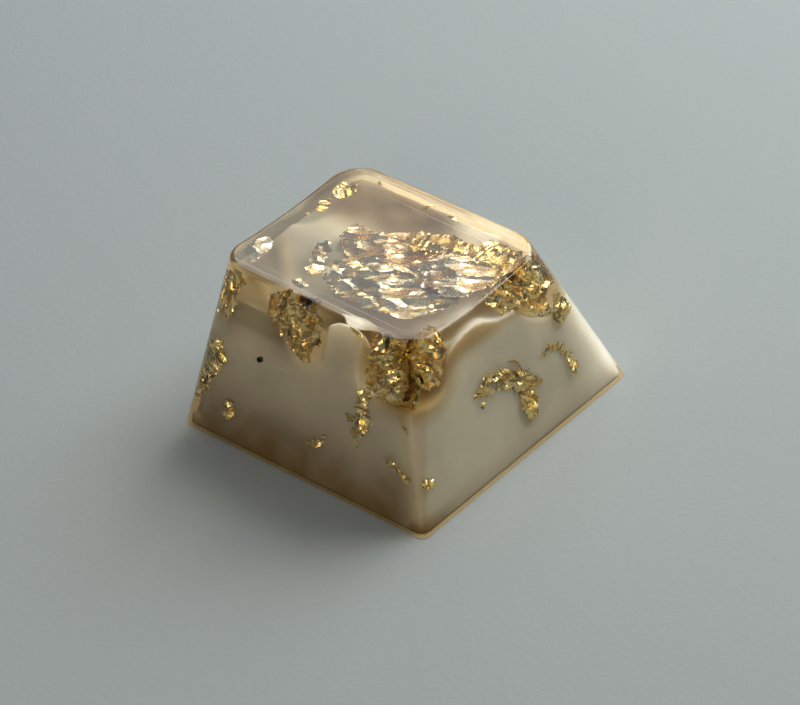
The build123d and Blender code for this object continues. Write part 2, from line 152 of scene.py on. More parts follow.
# Gold finishes: two tones, roughness, how dark the painted shade in the folds is and how strong the fine
# crumple is
GOLDS = {
    "deep_gold": ((1.0, 0.84, 0.44), (0.84, 0.6, 0.17), 0.17, 0.85, 0.55),
    # Gold with a painted reflection of the sky: pale yellow and sky grey
    "pale_gold": ((1.0, 0.88, 0.56), (0.62, 0.57, 0.45), 0.2, 0.35, 0.22),
    "rose_gold": ((0.98, 0.83, 0.58), (0.82, 0.64, 0.45), 0.24, 0.25, 0.35),
}
# Leaves that aren't deep gold; the pale ones under the top carry a painted reflection of the sky
LEAF_FINISH = {
    "top_middle": "pale_gold",
    "top_grey": "pale_gold",
    "top_left": "pale_gold",
    "top_left_edge": "pale_gold",
    "top_rose": "rose_gold",
    "top_right": "rose_gold",
}
# Leaves with broad folds
BROAD = ("top_middle", "top_rose", "top_right", "top_grey", "top_left")
# Crumples: kind and scale of each, then their order and height on tight and on broad sheets
CRUMPLES = {
    "folds": ("VORONOI", 0.0010),
    "facets": ("VORONOI", 0.00048),
    "drift": ("CLOUDS", 0.0011),
    "fine": ("VORONOI", 0.00024),
    "broad": ("VORONOI", 0.0020),
    "ripple": ("VORONOI", 0.0006),
}
TIGHT_FOLDS = (("drift", 0.0006), ("folds", 0.0006), ("facets", 0.00022), ("fine", 0.00006))
BROAD_FOLDS = (("drift", 0.0006), ("broad", 0.0010), ("ripple", 0.0002), ("fine", 0.00002))
MAIN_FOLDS = ("folds", "broad")
# A solid as deep as this is folded in full
FULL_RELIEF = 0.0004
# Box diagonal under which a leaf is small, and its share of the mesh step
SMALL_LEAF = 0.003
SMALL_STEP = 0.6
# Height from which a sheet is dropped, and the share of a step that its points may move
LIFT = 0.0005
JITTER = 0.45
# Flaps of leaf: shift across and up the side, turn, share of the size and depth below the sheet
FLAPS = {
    "side_corner": (0.0009, -0.0003, 24, 0.9, 0.0002),
    "front_corner": (-0.0007, 0.0, -20, 0.9, 0.0002),
    "side_window": (0.0004, 0.0003, 30, 0.8, 0.00022),
    "front_crumple": (0.0005, 0.0004, 28, 0.8, 0.0003),
    "right_corner": (0.0003, -0.0003, 32, 0.85, 0.0003),
    "top_right": (0.0002, 0.0007, -30, 1.0, 0.00025),
    "top_back": (0.0003, -0.0005, 20, 1.0, 0.0002),
    "top_rose": (0.0009, -0.0003, 25, 1.0, 0.00025),
    "top_middle": (0.0004, -0.0005, 18, 1.0, 0.00025),
    "top_grey": (0.0004, 0.0002, -15, 1.0, 0.0002),
    "side_upper": (0.0004, -0.0002, 8, 1.0, 0.00015),
    "side_lower": (0.0003, 0.0, -6, 1.0, 0.00015),
    "side_tail": (-0.0001, 0.0005, -20, 0.9, 0.0002),
    "front_small": (0.0002, 0.0001, 60, 1.2, 0.0001),
    "front_large": (0.0002, 0.0002, 25, 0.95, 0.0002),
}

# Lamps: place, size, power, colour and turn about the line of sight
LAMPS = {
    "window": ((0.17, -0.02, 0.15), (0.18, 0.14), 0.42, (0.97, 0.985, 0.96), 0),
    "sky_sheen": ((0.138, 0.132, 0.15), (0.15, 0.05), 0.04, (0.95, 0.98, 1.0), 60),
    "warm_fill": ((-0.2, -0.1, 0.1), (0.07, 0.06), 0.088, (1.0, 0.84, 0.6), 0),
}
LAMP_AIM = (0, 0, 0.005)
# World: place up the sky and colour, at the horizon and at the zenith
SKY = ((0.05, (0.2, 0.16, 0.12)), (0.75, (0.75, 0.86, 1.0)))
SKY_STRENGTH = 0.16


# Sizes and colours
class FormSettings(bpy.types.PropertyGroup):
    """Sizes of the cap's outer form that the frame's boxes don't give."""

    side_lean: FloatProperty(
        name="Side lean",
        default=0.0032,
        unit="LENGTH",
        description="How far the left and right sides lean in",
    )
    front_lean: FloatProperty(
        name="Front lean", default=0.0028, unit="LENGTH", description="How far the front side leans in"
    )
    back_lean: FloatProperty(
        name="Back lean", default=0.0010, unit="LENGTH", description="How far the back side leans in"
    )
    front_height: FloatProperty(
        name="Front height", default=0.0100, unit="LENGTH", description="Height of the top's front edge"
    )
    back_height: FloatProperty(
        name="Back height", default=0.0103, unit="LENGTH", description="Height of the top's back edge"
    )
    base_corner: FloatProperty(
        name="Base corner",
        default=0.0005,
        unit="LENGTH",
        description="Radius of the upright corners at the base",
    )
    top_corner: FloatProperty(
        name="Top corner",
        default=0.0021,
        unit="LENGTH",
        description="Radius of the upright corners at the top",
    )
    dish_sag: FloatProperty(
        name="Dish sag", default=0.0004, unit="LENGTH", description="Depth of the dish in the top"
    )
    rim_round: FloatProperty(
        name="Rim round", default=0.00025, unit="LENGTH", description="Radius of the top's rim"
    )
    skin: FloatProperty(
        name="Skin",
        default=0.00035,
        unit="LENGTH",
        description="Thickness of the clear resin over the white sides",
    )
    corner_steps: IntProperty(
        name="Corner steps", default=14, description="Facets round each upright corner"
    )
    rim_steps: IntProperty(name="Rim steps", default=10, description="Facets round the rim")
    dish_steps: IntProperty(
        name="Dish steps", default=458, description="Facets round the dish's cylinder"
    )


class ResinSettings(bpy.types.PropertyGroup):
    """Finish of the two resins."""

    voxel: FloatProperty(
        name="Voxel", default=0.00015, unit="LENGTH", description="Mesh step of the white casting"
    )
    wave: FloatProperty(
        name="Wave", default=0.0006, unit="LENGTH", description="Height of the crown's waves"
    )
    wave_span: FloatProperty(
        name="Wave span", default=0.0026, unit="LENGTH", description="Width of the crown's waves"
    )
    smoothing: IntProperty(
        name="Smoothing", default=36, description="Rounds of smoothing on the poured faces"
    )
    white: FloatVectorProperty(
        name="White", default=(0.62, 0.605, 0.52), subtype="COLOR", description="Milky resin"
    )
    # Colour of the painted amber shade low on the left side
    painted_amber_shade: FloatVectorProperty(
        name="Painted_amber_shade",
        default=(0.2, 0.115, 0.006),
        subtype="COLOR",
        description="Amber stain low on the left side",
    )
    amber: FloatVectorProperty(
        name="Amber",
        default=(1.0, 0.85, 0.55),
        subtype="COLOR",
        description="What deep clear resin lets through",
    )
    amber_density: FloatProperty(
        name="Amber density", default=260, description="How soon the clear resin turns amber with depth"
    )
    pinhole: FloatVectorProperty(
        name="Pinhole", default=(-0.00733, 0.00405, 0.00562), unit="LENGTH", description="Its mouth"
    )
    pinhole_width: FloatProperty(
        name="Pinhole width", default=0.00032, unit="LENGTH", description="Across its mouth"
    )
    pinhole_depth: FloatProperty(
        name="Pinhole depth", default=0.0006, unit="LENGTH", description="Into the side"
    )
    bubble: FloatVectorProperty(
        name="Bubble", default=(-0.00739, 0.00237, 0.00543), unit="LENGTH", description="Its mouth"
    )
    bubble_width: FloatProperty(
        name="Bubble width", default=0.0002, unit="LENGTH", description="Across and into the side"
    )


class LeafSettings(bpy.types.PropertyGroup):
    """How the leaf is crumpled."""

    step: FloatProperty(
        name="Mesh step", default=0.00009, unit="LENGTH", description="Between the points of a sheet"
    )
    pleat_keep: FloatProperty(
        name="Pleats kept", default=0.35, description="Share of the solid's pleats that stays"
    )
    tight_stretch: FloatProperty(
        name="Tight stretch", default=2.3, description="How drawn out tight folds are"
    )
    broad_stretch: FloatProperty(
        name="Broad stretch", default=2.0, description="How drawn out broad folds are"
    )
    tear: FloatProperty(name="Tear", default=0.3, description="Share of the edge's points torn off")
    small_tear: FloatProperty(name="Small tear", default=0.08, description="The same on small leaves")
    tight_keep: FloatProperty(
        name="Tight facets", default=0.4, description="Share of the faces that stays"
    )
    broad_keep: FloatProperty(name="Broad facets", default=0.2, description="The same on broad sheets")
    small_keep: FloatProperty(name="Small facets", default=0.6, description="The same on small leaves")
    thickness: FloatProperty(
        name="Thickness", default=0.000014, unit="LENGTH", description="Of the leaf"
    )
    thread: FloatProperty(
        name="Thread", default=6, description="How many times thicker the rolled threads are"
    )
    cover: FloatProperty(
        name="Cover", default=0.00007, unit="LENGTH", description="Clear resin over every leaf"
    )
    facet_angle: FloatProperty(
        name="Facet angle",
        default=radians(14),
        subtype="ANGLE",
        description="Folds sharper than this stay crisp",
    )
    seed: IntProperty(name="Seed", default=7, description="Start of what is random")


class StageSettings(bpy.types.PropertyGroup):
    """Camera, floor and light."""

    azimuth: FloatProperty(
        name="Azimuth",
        default=radians(-46.168),
        subtype="ANGLE",
        description="Camera's place round the part",
    )
    elevation: FloatProperty(
        name="Elevation",
        default=radians(37.251),
        subtype="ANGLE",
        description="Camera's angle over the floor",
    )
    roll: FloatProperty(
        name="Roll", default=radians(-5.52), subtype="ANGLE", description="About the line of sight"
    )
    distance: FloatProperty(
        name="Distance", default=0.210931, unit="LENGTH", description="From the camera to its target"
    )
    target: FloatVectorProperty(
        name="Target",
        default=(0.003082, 0.003052, 0),
        unit="LENGTH",
        description="What the camera aims at",
    )
    lens: FloatProperty(name="Lens", default=162, description="Focal length on a 36 mm wide sensor")
    floor: FloatVectorProperty(
        name="Floor", default=(0.53, 0.575, 0.57), subtype="COLOR", description="Plain pale floor"
    )
    floor_size: FloatProperty(
        name="Floor size", default=1.2, unit="LENGTH", description="Side of the floor"
    )
    floor_gap: FloatProperty(
        name="Floor gap", default=0.00003, unit="LENGTH", description="Between the base and the floor"
    )


# Helpers
def deselect():
    bpy.ops.object.select_all(action="DESELECT")


def only(piece):
    """Makes one object the selected and active one."""
    deselect()
    piece.select_set(True)
    bpy.context.view_layer.objects.active = piece


def delete_points(piece, test):
    """Deletes the vertices of a piece that pass a test."""
    mesh = piece.data
    for element in (*mesh.vertices, *mesh.edges, *mesh.polygons):
        element.select = False
    for vertex in mesh.vertices:
        vertex.select = test(vertex)
    bpy.ops.object.mode_set(mode="EDIT")
    bpy.ops.mesh.select_mode(type="VERT")
    bpy.ops.mesh.delete(type="VERT")
    bpy.ops.object.mode_set(mode="OBJECT")


def modify(piece, kind, **settings):
    """Adds a modifier with its settings and applies it."""
    only(piece)
    bpy.ops.object.modifier_add(type=kind)
    modifier = piece.modifiers[-1]
    for key, value in settings.items():
        setattr(modifier, key, value)
    bpy.ops.object.modifier_apply(modifier=modifier.name)


def texture(name, kind, scale, **values):
    """A texture that displaces a mesh."""
    made = bpy.data.textures.new(name, kind)
    made.noise_scale = scale
    for key, value in values.items():
        setattr(made, key, value)
    return made


def copy_of(node, name):
    """A merged copy of a CAD node, ready to be worked on."""
    only(bpy.data.objects[node])
    bpy.ops.object.duplicate()
    piece = bpy.context.active_object
    piece.name = name
    piece.parent = None
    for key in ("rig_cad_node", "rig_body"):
        if key in piece:
            del piece[key]
    piece.data.materials.clear()
    bpy.ops.object.mode_set(mode="EDIT")
    bpy.ops.mesh.select_all(action="SELECT")
    bpy.ops.mesh.remove_doubles(threshold=MERGE)
    bpy.ops.object.mode_set(mode="OBJECT")
    return piece


def finish_piece(piece, node):
    """Puts a piece in a node's place."""
    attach(piece, "root")
    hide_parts(node)


# Outer form
def middle_height(form):
    return (form.front_height + form.back_height) / 2


def middle_depth(form):
    """The Y of the top's middle."""
    return (form.front_lean - form.back_lean) / 2


def half_top(form):
    return HALF_BASE - form.side_lean


def top_slope(form):
    """Rise of the top from front to back."""
    run = 2 * HALF_BASE - form.front_lean - form.back_lean
    return (form.back_height - form.front_height) / run


def corner_radius(form, z):
    return form.base_corner + (form.top_corner - form.base_corner) * z / middle_height(form)


def sides(form):
    """A point on each upright side and its outward normal: left, right, front, back."""
    tall = middle_height(form)
    return [
        (Vector(place), Vector(out).normalized())
        for place, out in (
            ((-HALF_BASE, 0, 0), (-tall, 0, form.side_lean)),
            ((HALF_BASE, 0, 0), (tall, 0, form.side_lean)),
            ((0, -HALF_BASE, 0), (0, -form.front_height, form.front_lean)),
            ((0, HALF_BASE, 0), (0, form.back_height, form.back_lean)),
        )
    ]


def left_out(form):
    """The outward normal of the left side."""
    return sides(form)[0][1]


def dish_height(form, x, y):
    """Height of the dished top."""
    plane = middle_height(form) + (y - middle_depth(form)) * top_slope(form)
    return plane - form.dish_sag * (1 - (x / half_top(form)) ** 2)


def plate(form, z, inset, radius):
    """A rounded rectangle that follows the outer form at a height."""
    half = HALF_BASE - form.side_lean * z / middle_height(form) - inset
    front = -HALF_BASE + form.front_lean * z / form.front_height + inset
    back = HALF_BASE - form.back_lean * z / form.back_height - inset
    bpy.ops.mesh.primitive_plane_add(size=2, location=(0, 0, 0))
    piece = bpy.context.active_object
    bpy.ops.object.mode_set(mode="EDIT")
    bpy.ops.mesh.select_all(action="SELECT")
    bpy.ops.transform.resize(value=(half, (back - front) / 2, 1), center_override=(0, 0, 0))
    bpy.ops.transform.translate(value=(0, (back + front) / 2, z))
    bpy.ops.mesh.bevel(offset=radius, segments=form.corner_steps, affect="VERTICES")
    bpy.ops.object.mode_set(mode="OBJECT")
    return piece


def block(form, name, levels):
    """A closed block through rounded rectangles, given as height, inset and radius."""
    plates = [plate(form, *level) for level in levels]
    deselect()
    for piece in plates:
        piece.select_set(True)
    bpy.context.view_layer.objects.active = plates[0]
    bpy.ops.object.join()
    piece = bpy.context.active_object
    piece.name = name
    bpy.ops.object.mode_set(mode="EDIT")
    bpy.ops.mesh.select_all(action="SELECT")
    bpy.ops.mesh.delete(type="ONLY_FACE")
    bpy.ops.mesh.select_all(action="SELECT")
    bpy.ops.mesh.bridge_edge_loops()
    bpy.ops.mesh.select_all(action="SELECT")
    bpy.ops.mesh.fill_holes(sides=0)
    bpy.ops.mesh.normals_make_consistent(inside=False)
    bpy.ops.object.mode_set(mode="OBJECT")
    return piece


def cut(piece, tool):
    """Takes a tool's form out of a piece."""
    modify(piece, "BOOLEAN", operation="DIFFERENCE", solver="EXACT", object=tool)
    bpy.data.objects.remove(tool)
    only(piece)


def dish_tool(form):
    """The long cylinder that hollows the top from side to side."""
    radius = (half_top(form) ** 2 + form.dish_sag**2) / (2 * form.dish_sag)
    slope = top_slope(form)
    middle = Vector((0, middle_depth(form), middle_height(form)))
    along = Vector((0, 1, slope)).normalized()
    upward = Vector((0, -slope, 1)).normalized()
    turn = Matrix((Vector((1, 0, 0)), upward, -along)).transposed()
    bpy.ops.mesh.primitive_cylinder_add(
        vertices=form.dish_steps,
        radius=radius,
        depth=6 * HALF_BASE,
        location=middle + upward * (radius - form.dish_sag),
        rotation=turn.to_euler(),
    )
    return bpy.context.active_object


def core_tool(form):
    """The core that the white casting takes up: height, inset and corner radius of each level."""
    levels = (
        (-0.001, form.skin - 0.0004, 0.0005),
        (0.0004, CORE_WALL, CORE_CORNER),
        (CORE_TOP, CORE_WALL - 0.0001, CORE_CORNER),
    )
    return block(form, "core_tool", levels)


def hole_tool(form, place, width, depth):
    """A round tool that enters the left side at a place."""
    bpy.ops.mesh.primitive_cylinder_add(
        vertices=HOLE_STEPS,
        radius=width / 2,
        depth=2 * depth,
        location=place,
        rotation=left_out(form).to_track_quat("Z", "Y").to_euler(),
    )
    return bpy.context.active_object


def round_rim(piece, form):
    """Rounds the sharp edges round the top."""
    rim_low = form.front_height - form.dish_sag * 1.5
    bpy.ops.object.mode_set(mode="EDIT")
    bpy.ops.mesh.select_mode(type="EDGE")
    bpy.ops.mesh.select_all(action="DESELECT")
    bpy.ops.mesh.edges_select_sharp(sharpness=RIM_ANGLE)
    bpy.ops.object.mode_set(mode="OBJECT")
    points = piece.data.vertices
    for edge in piece.data.edges:
        edge.select = edge.select and min(points[i].co.z for i in edge.vertices) > rim_low
    for element in (*points, *piece.data.polygons):
        element.select = False
    bpy.ops.object.mode_set(mode="EDIT")
    bpy.ops.mesh.bevel(offset=form.rim_round, segments=form.rim_steps, affect="EDGES", clamp_overlap=False)
    bpy.ops.object.mode_set(mode="OBJECT")


# Materials
def mottle_group():
    """Noise on a piece's own coordinates, and a soft mask of it between two levels."""
    made = bpy.data.node_groups.get("mottle")
    if made:
        return made
    made = bpy.data.node_groups.new("mottle", "ShaderNodeTree")
    inputs = {
        "Scale": 500.0,
        "Detail": 2.0,
        "Roughness": 0.5,
        "Distortion": 0.0,
        "From": 0.3,
        "To": 0.7,
        "Least": 0.0,
        "Most": 1.0,
    }
    for name, value in inputs.items():
        socket = made.interface.new_socket(name=name, in_out="INPUT", socket_type="NodeSocketFloat")
        socket.default_value = value
    for name in ("Height", "Mask"):
        made.interface.new_socket(name=name, in_out="OUTPUT", socket_type="NodeSocketFloat")
    given = made.nodes.new("NodeGroupInput")
    put_out = made.nodes.new("NodeGroupOutput")
    place = made.nodes.new("ShaderNodeTexCoord")
    noise = made.nodes.new("ShaderNodeTexNoise")
    mask = made.nodes.new("ShaderNodeMapRange")
    mask.interpolation_type = "SMOOTHSTEP"
    made.links.new(place.outputs["Object"], noise.inputs["Vector"])
    for name in ("Scale", "Detail", "Roughness", "Distortion"):
        made.links.new(given.outputs[name], noise.inputs[name])
    made.links.new(noise.outputs["Fac"], mask.inputs["Value"])
    for name, socket in (("From", "From Min"), ("To", "From Max"), ("Least", "To Min"), ("Most", "To Max")):
        made.links.new(given.outputs[name], mask.inputs[socket])
    made.links.new(noise.outputs["Fac"], put_out.inputs["Height"])
    made.links.new(mask.outputs["Result"], put_out.inputs["Mask"])
    return made


class Nodes:
    """A material's node tree, and short ways to add to it."""

    def __init__(self, name):
        self.material = bpy.data.materials.new(name)
        self.material.use_nodes = True
        self.tree = self.material.node_tree
        self.shader = self.tree.nodes["Principled BSDF"]
        self.output = self.tree.nodes["Material Output"]

    def add(self, kind, **values):
        node = self.tree.nodes.new(kind)
        for key, value in values.items():
            setattr(node, key, value)
        return node

    def link(self, source, target):
        self.tree.links.new(source, target)

    def place(self):
        return self.add("ShaderNodeTexCoord").outputs["Object"]

    def split(self, vector):
        node = self.add("ShaderNodeSeparateXYZ")
        self.link(vector, node.inputs[0])
        return node.outputs

    def mottle(self, scale, detail, roughness=0.5, distortion=0.0, mask=(0.3, 0.7, 0.0, 1.0)):
        """Noise as a height, and a mask of it: from, to, least and most."""
        node = self.add("ShaderNodeGroup", node_tree=mottle_group())
        names = ("Scale", "Detail", "Roughness", "Distortion", "From", "To", "Least", "Most")
        for name, value in zip(names, (scale, detail, roughness, distortion, *mask)):
            node.inputs[name].default_value = value
        return node.outputs["Height"], node.outputs["Mask"]

    def fade(self, value, start, full, least=0.0, most=1.0):
        """A soft mask that grows from its start to where it is full."""
        if start > full:
            start, full, least, most = full, start, most, least
        node = self.add("ShaderNodeMapRange", interpolation_type="SMOOTHSTEP")
        self.link(value, node.inputs["Value"])
        node.inputs["From Min"].default_value = start
        node.inputs["From Max"].default_value = full
        node.inputs["To Min"].default_value = least
        node.inputs["To Max"].default_value = most
        return node.outputs["Result"]

    def near(self, place, start, full, most):
        """A soft ball round a place, full up to a distance and gone at another."""
        node = self.add("ShaderNodeVectorMath", operation="DISTANCE")
        self.link(self.place(), node.inputs[0])
        node.inputs[1].default_value = place
        return self.fade(node.outputs["Value"], start, full, 0.0, most)

    def math(self, operation, first, second):
        node = self.add("ShaderNodeMath", operation=operation)
        for socket, value in zip(node.inputs, (first, second)):
            if isinstance(value, (int, float)):
                socket.default_value = value
            else:
                self.link(value, socket)
        return node.outputs[0]

    def product(self, *masks):
        result = masks[0]
        for mask in masks[1:]:
            result = self.math("MULTIPLY", result, mask)
        return result

    def mix(self, factor, first, second):
        node = self.add("ShaderNodeMix", data_type="RGBA")
        self.link(factor, node.inputs["Factor"])
        for socket, value in ((node.inputs[6], first), (node.inputs[7], second)):
            if isinstance(value, tuple):
                socket.default_value = (*value, 1)
            else:
                self.link(value, socket)
        return node.outputs[2]

    def bump(self, height, strength, distance):
        node = self.add("ShaderNodeBump")
        node.inputs["Strength"].default_value = strength
        node.inputs["Distance"].default_value = distance
        self.link(height, node.inputs["Height"])
        self.link(node.outputs["Normal"], self.shader.inputs["Normal"])


def clear_material(resin):
    """Amber-tinted clear resin, polished, with faint casting waves. Light reaches what is inside."""
    nodes = Nodes("clear_resin")
    shader = nodes.shader
    shader.inputs["Base Color"].default_value = (1.0, 0.985, 0.95, 1)
    shader.inputs["IOR"].default_value = 1.5
    shader.inputs["Transmission Weight"].default_value = 1
    _, dull = nodes.mottle(900, 3, mask=(0.35, 0.7, 0.02, 0.06))
    nodes.link(dull, shader.inputs["Roughness"])
    wave, _ = nodes.mottle(420, 1)
    nodes.bump(wave, 0.35, 0.00004)
    through = nodes.add("ShaderNodeBsdfTransparent")
    through.inputs["Color"].default_value = (0.97, 0.95, 0.9, 1)
    path = nodes.add("ShaderNodeLightPath")
    mix = nodes.add("ShaderNodeMixShader")
    nodes.link(path.outputs["Is Shadow Ray"], mix.inputs["Fac"])
    nodes.link(shader.outputs["BSDF"], mix.inputs[1])
    nodes.link(through.outputs["BSDF"], mix.inputs[2])
    nodes.link(mix.outputs["Shader"], nodes.output.inputs["Surface"])
    volume = nodes.add("ShaderNodeVolumeAbsorption")
    volume.inputs["Color"].default_value = (*resin.amber, 1)
    volume.inputs["Density"].default_value = resin.amber_density
    nodes.link(volume.outputs["Volume"], nodes.output.inputs["Volume"])
    return nodes.material


def sanded_material():
    """The sanded foot of the clear casting."""
    nodes = Nodes("sanded_resin")
    grain, _ = nodes.mottle(6000, 3, 0.6)
    tone = nodes.mix(grain, (0.42, 0.33, 0.17), (0.55, 0.46, 0.28))
    nodes.link(tone, nodes.shader.inputs["Base Color"])
    nodes.shader.inputs["Roughness"].default_value = 0.8
    nodes.bump(grain, 0.4, 0.00003)
    return nodes.material


def hole_shade_material():
    """Painted shade on the walls of the pinhole."""
    nodes = Nodes("pinhole_dirt")
    nodes.shader.inputs["Base Color"].default_value = (*HOLE_SHADE, 1)
    nodes.shader.inputs["Roughness"].default_value = 0.9
    return nodes.material


def white_material(form, resin):
    """Milky resin in soft clouds, with painted light, shade and sheen tinted on by place."""
    nodes = Nodes("white_resin")
    x, y, z = nodes.split(nodes.place())
    level = nodes.split(nodes.add("ShaderNodeNewGeometry").outputs["Normal"])[2]
    slant = nodes.math("SUBTRACT", x, nodes.math("MULTIPLY", y, SLANT_SHARE))
    reads = {"x": x, "y": y, "z": z, "level": level, "slant": slant}

    def fades(entries):
        return nodes.product(*(nodes.fade(reads[name], *ends) for name, *ends in entries))

    def tint(tone, entries, strength, colour):
        return nodes.mix(nodes.product(fades(entries), strength), tone, colour)

    _, clouds = nodes.mottle(260, 3, 0.55, 0.6, (0.3, 0.75, 0.0, 1.0))
    tone = nodes.mix(clouds, tuple(resin.white), tuple(CLOUD_SHADE * c for c in resin.white))
    # Painted light on the right end, then painted shade towards the foot
    for entry in (PAINTED_LIT_END, FOOT_SHADE):
        tone = tint(tone, *entry)
    # Painted amber shade low on the left side, broken into patches
    _, drift = nodes.mottle(190, 3, 0.6, 1.2, (0.3, 0.68, 0.65, 1.0))
    painted_amber_shade = nodes.math("MAXIMUM", fades(AMBER_SHADE_FOOT), fades(AMBER_SHADE_CORNER))
    tone = nodes.mix(nodes.product(painted_amber_shade, fades([AMBER_SHADE_LEFT]), drift), tone, tuple(resin.painted_amber_shade))
    # Painted shade in the left recess and high on the front
    for entry in (RECESS_SHADE, FRONT_STEP_SHADE):
        tone = tint(tone, *entry)
    # Painted sheen and light on the crown
    tone = tint(tone, CROWN_SHEEN, CROWN_SHEEN_STRENGTH, nodes.mix(fades([CROWN_SHEEN_BACK]), *CROWN_SHEEN_TONES))
    # Painted shade in the valley of the top
    tone = tint(tone, *VALLEY_SHADE)
    for place, reach in POCKETS:
        glow = nodes.near(place, reach * POCKET_START, reach * POCKET_FULL, POCKET_STRENGTH)
        tone = nodes.mix(glow, tone, POCKET_TONE)
    bottom = Vector(resin.pinhole) - left_out(form) * form.skin
    width = resin.pinhole_width
    # Painted shade round the bottom of the pinhole
    hole_shade = nodes.near(bottom, width * HOLE_SHADE_START, width * HOLE_SHADE_FULL, 1.0)
    tone = nodes.mix(hole_shade, tone, HOLE_SHADE)
    shader = nodes.shader
    nodes.link(tone, shader.inputs["Base Color"])
    shader.inputs["Roughness"].default_value = 0.4
    shader.inputs["Subsurface Weight"].default_value = 1
    shader.inputs["Subsurface Radius"].default_value = (1.0, 0.88, 0.72)
    shader.inputs["Subsurface Scale"].default_value = 0.0018
    return nodes.material


def gold_material(name, pale, deep, roughness, folded, crumple):
    """Gold leaf: its tone drifts over the sheet, with painted shade in folded patches."""
    nodes = Nodes(name)
    shader = nodes.shader
    _, drift = nodes.mottle(650, 3, 0.6, mask=(0.35, 0.65, 0.0, 1.0))
    tone = nodes.mix(drift, pale, deep)
    # Painted shade: dark patches for the shade in the leaf's folds
    _, fold = nodes.mottle(1000, 4, 0.6, 1.6, (0.55, 0.64, 0.0, folded))
    tone = nodes.mix(fold, tone, tuple(FOLD_SHADE * c for c in deep))
    nodes.link(tone, shader.inputs["Base Color"])
    shader.inputs["Metallic"].default_value = 1
    _, grain = nodes.mottle(9000, 2, 0.6, mask=(0.3, 0.7, roughness * 0.7, roughness * 1.4))
    nodes.link(grain, shader.inputs["Roughness"])
    height, _ = nodes.mottle(1800, 4, 0.55, 0.8)
    nodes.bump(height, crumple, 0.00009)
    return nodes.material


def floor_material(stage):
    """A plain matt floor with a faint grain."""
    nodes = Nodes("floor")
    nodes.shader.inputs["Base Color"].default_value = (*stage.floor, 1)
    nodes.shader.inputs["Roughness"].default_value = 0.9
    height, _ = nodes.mottle(2500, 4, 0.6)
    nodes.bump(height, 0.3, 0.0001)
    return nodes.material


# Castings
class KEYCAP_OT_white_resin(bpy.types.Operator):
    """White casting with its hollow, stem and socket"""

    bl_idname = "keycap.white_resin"
    bl_label = "White Resin"

    def execute(self, context):
        form = context.scene.keycap_form
        resin = context.scene.keycap_resin
        piece = copy_of(WHITE_NODE, "white_casting")
        modify(piece, "REMESH", mode="VOXEL", voxel_size=resin.voxel)
        walls = sides(form)
        reach = form.skin + POURED_REACH
        chosen = []
        for vertex in piece.data.vertices:
            near = min((point - vertex.co).dot(out) for point, out in walls)
            height = vertex.co.z
            if height > POURED_ABOVE or (height > POURED_FOOT and near < reach):
                chosen.append(vertex.index)
        poured = piece.vertex_groups.new(name="poured")
        poured.add(chosen, 1, "REPLACE")
        crown = piece.vertex_groups.new(name="crown")
        crown.add([v.index for v in piece.data.vertices if v.co.z > CROWN_ABOVE], 1, "REPLACE")
        modify(
            piece,
            "DISPLACE",
            texture=texture("pour", "CLOUDS", resin.wave_span, noise_depth=1),
            texture_coords="LOCAL",
            direction="NORMAL",
            strength=resin.wave,
            mid_level=0.6,
            vertex_group=crown.name,
        )
        modify(piece, "SMOOTH", factor=0.5, iterations=resin.smoothing, vertex_group=poured.name)
        only(piece)
        bpy.ops.object.shade_smooth()
        piece.data.materials.append(white_material(form, resin))
        finish_piece(piece, WHITE_NODE)
        return {"FINISHED"}


class KEYCAP_OT_clear_resin(bpy.types.Operator):
    """Clear casting: the whole outer form, open under the white"""

    bl_idname = "keycap.clear_resin"
    bl_label = "Clear Resin"

    def execute(self, context):
        form = context.scene.keycap_form
        resin = context.scene.keycap_resin
        tall = CLEAR_HIGH.z + form.dish_sag
        levels = [(z, 0, corner_radius(form, z)) for z in (0, tall)]
        piece = block(form, "clear_casting", levels)
        cut(piece, dish_tool(form))
        round_rim(piece, form)
        cut(piece, core_tool(form))
        cut(piece, hole_tool(form, resin.pinhole, resin.pinhole_width, resin.pinhole_depth))
        cut(piece, hole_tool(form, resin.bubble, resin.bubble_width, resin.bubble_width))
        bpy.ops.object.shade_smooth_by_angle(angle=CRISP_ANGLE)
        modify(piece, "WEIGHTED_NORMAL", keep_sharp=True)
        for material in (clear_material(resin), sanded_material(), hole_shade_material()):
            piece.data.materials.append(material)
        mouth = Vector(resin.pinhole)
        out = left_out(form)
        for face in piece.data.polygons:
            if face.center.z < TOUCH and face.normal.z < -0.9:
                face.material_index = 1
            inward = (face.center - mouth).dot(out)
            aside = (face.center - mouth - out * inward).length
            # The pinhole's walls take the painted shade
            if aside < 0.55 * resin.pinhole_width and inward < -TOUCH:
                face.material_index = 2
        finish_piece(piece, CLEAR_NODE)
        return {"FINISHED"}


# Gold leaf
def facing(name, form):
    """The outward direction of the side that a leaf lies under, and the direction up along it."""
    if name.startswith("side_"):
        return left_out(form), Vector((0, 0, 1))
    if name.startswith("front_") or name in ("bright_facet", "right_edge"):
        return sides(form)[2][1], Vector((0, 0, 1))
    return Vector((0, -top_slope(form), 1)).normalized(), Vector((0, 1, 0))


